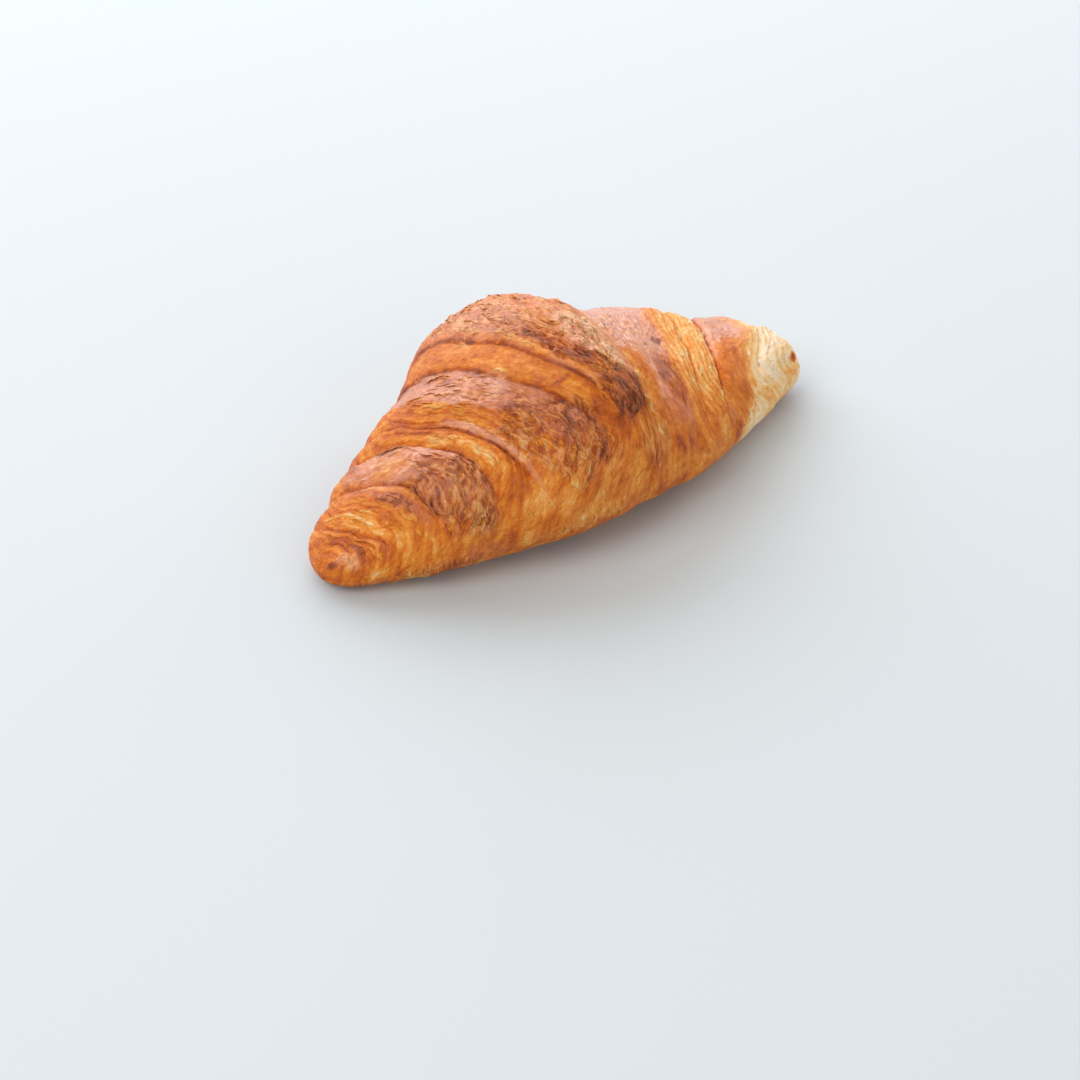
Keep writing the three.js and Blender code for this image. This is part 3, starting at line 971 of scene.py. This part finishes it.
# Area lights: place, width, height, watts, colour
LIGHTS = {
    "window_behind": ((0.15, 1.1, 0.75), 2.2, 1.2, 26, "#F5F6FC"),
    "key_left": ((-0.9, -0.1, 1.0), 0.8, 0.8, 7.5, "#FFF8F0"),
    "window_right": ((1.1, 0.1, 0.6), 0.8, 0.8, 5, "#FFFAF4"),
    "fill_front": ((0.0, -1.3, 0.6), 1.4, 0.8, 4.2, "#FFF4E8"),
}
STUDIO_COLOR = "#F2F7FA"
STUDIO_STRENGTH = 0.5


def aim(item, point):
    item.rotation_euler = (point - item.location).to_track_quat("-Z", "Y").to_euler()


def make_camera():
    right = Vector((math.cos(CAMERA_AZIMUTH), math.sin(CAMERA_AZIMUTH), 0))
    back = Vector((
        math.sin(CAMERA_AZIMUTH) * math.cos(CAMERA_ELEVATION),
        -math.cos(CAMERA_AZIMUTH) * math.cos(CAMERA_ELEVATION),
        math.sin(CAMERA_ELEVATION),
    ))
    up = back.cross(right)
    data = bpy.data.cameras.new("camera")
    data.sensor_width = SENSOR
    data.lens = PIXELS_PER_MM * CAMERA_DISTANCE / MM / PHOTO_SIZE * SENSOR
    camera = bpy.data.objects.new("camera", data)
    bpy.context.scene.collection.objects.link(camera)
    camera.location = LOOK_POINT + back * CAMERA_DISTANCE
    pixel = MM / PIXELS_PER_MM
    middle = PHOTO_SIZE / 2
    aside = right * (middle - LOOK_PIXEL[0]) + up * (LOOK_PIXEL[1] - middle)
    aim(camera, LOOK_POINT + aside * pixel)
    bpy.context.scene.camera = camera


def add_light(name, place, width, height, watts, color):
    data = bpy.data.lights.new(name, "AREA")
    data.shape = "RECTANGLE"
    data.size = width
    data.size_y = height
    data.energy = watts
    data.color = linear(color)
    light = bpy.data.objects.new(name, data)
    light.location = place
    aim(light, LOOK_POINT)
    light.visible_camera = False
    bpy.context.scene.collection.objects.link(light)


def make_light():
    for name, settings in LIGHTS.items():
        add_light(name, *settings)
    world = bpy.data.worlds.new("studio")
    world.use_nodes = True
    background = world.node_tree.nodes["Background"]
    background.inputs["Color"].default_value = opaque(STUDIO_COLOR)
    background.inputs["Strength"].default_value = STUDIO_STRENGTH
    bpy.context.scene.world = world
    bpy.context.scene.view_settings.view_transform = "Standard"


make_camera()
crust_finish = crust_material()
make_croissant(crust_finish)
make_flakes(crust_finish)
make_table()
make_light()
